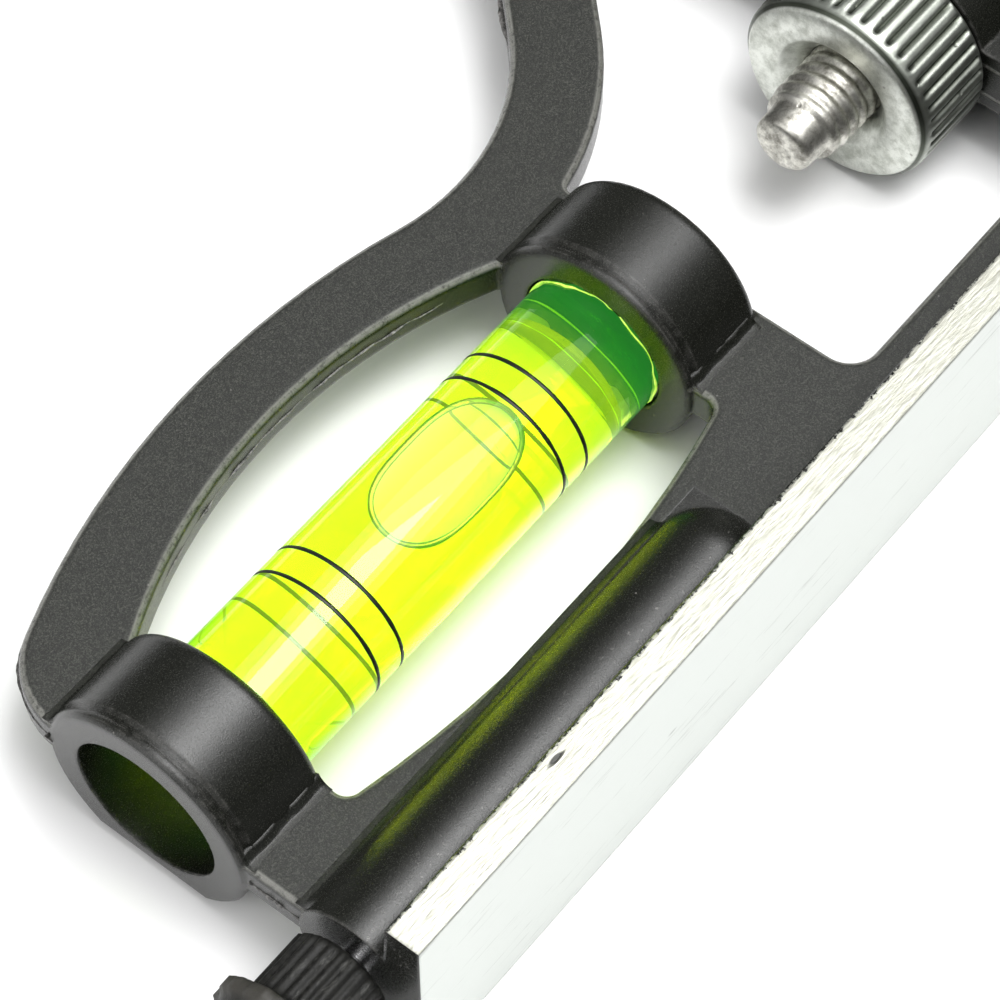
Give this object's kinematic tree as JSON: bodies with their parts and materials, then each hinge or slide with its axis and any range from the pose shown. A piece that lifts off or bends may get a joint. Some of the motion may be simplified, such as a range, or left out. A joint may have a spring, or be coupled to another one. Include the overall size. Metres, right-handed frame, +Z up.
{
  "type": "combination square",
  "caption": "Combination square: slotted steel rule clamped in a cast head with 90 and 45 degree faces, a spirit level and a scriber.",
  "frame": {"origin": "middle of the long 90 degree face, half way up the head's thickness", "axes": "+X along the 90 degree face towards the rule, +Y into the head along the rule, +Z up through the head's thickness"},
  "size_m": [0.1183, 0.3, 0.0148],
  "materials": {
    "black_paint": "satin black paint with a fine sparkle on cast metal",
    "machined_face": "bare ground metal, scratched along its length",
    "level_acrylic": "clear yellow-green acrylic",
    "level_liquid": "clear yellow-green liquid",
    "bubble_air": "clear air",
    "vial_cement": "clear hard cement, green where it meets the vial",
    "ring_paint": "black level lines",
    "zinc_plate": "worn zinc plating",
    "spring_steel": "bright drawn wire",
    "rule_steel": "satin ground steel",
    "rule_marks": "black etched lines and numbers",
    "needle_steel": "polished hardened steel",
    "knob_plastic": "ribbed moulded black plastic"
  },
  "bodies": {
    "head": {"head_casting": "black_paint", "vial_tube": "level_acrylic", "vial_end_plug": "level_acrylic", "vial_liquid": "level_liquid", "vial_glue_lower": "vial_cement", "vial_glue_upper": "vial_cement", "clamp_spring": "spring_steel"},
    "rule": {"rule": "rule_steel"},
    "nut": {"clamp_nut": "zinc_plate"},
    "bolt": {"clamp_bolt": "zinc_plate"},
    "scriber": {"scriber_needle": "needle_steel", "scriber_knob": "knob_plastic"},
    "bubble": {"vial_bubble": "bubble_air"}
  },
  "joints": [
    {"name": "rule_slide", "type": "slide", "parent": "head", "child": "rule", "axis": [0, 1, 0], "range_m": [-0.155, 0.125]},
    {"name": "nut_turn", "type": "hinge", "parent": "head", "child": "nut", "pos_m": [0.03, 0.0206, 0], "axis": [-1, 0, 0], "range_deg": [0, 432]},
    {"name": "bolt_draw", "type": "slide", "parent": "head", "child": "bolt", "axis": [1, 0, 0], "range_m": [0, 0.0012], "deforming": ["clamp_spring"]},
    {"name": "scriber_pull", "type": "slide", "parent": "head", "child": "scriber", "axis": [-1, 0, 0], "range_m": [0, 0.036]},
    {"name": "bubble_drift", "type": "slide", "parent": "head", "child": "bubble", "axis": [1, 0, 0], "range_m": [-0.0122, 0.005], "deforming": ["vial_liquid"]}
  ],
  "couplings": [
    {"joint": "bolt_draw", "follows": "nut_turn", "m_per_rad": 0.00015915}
  ]
}
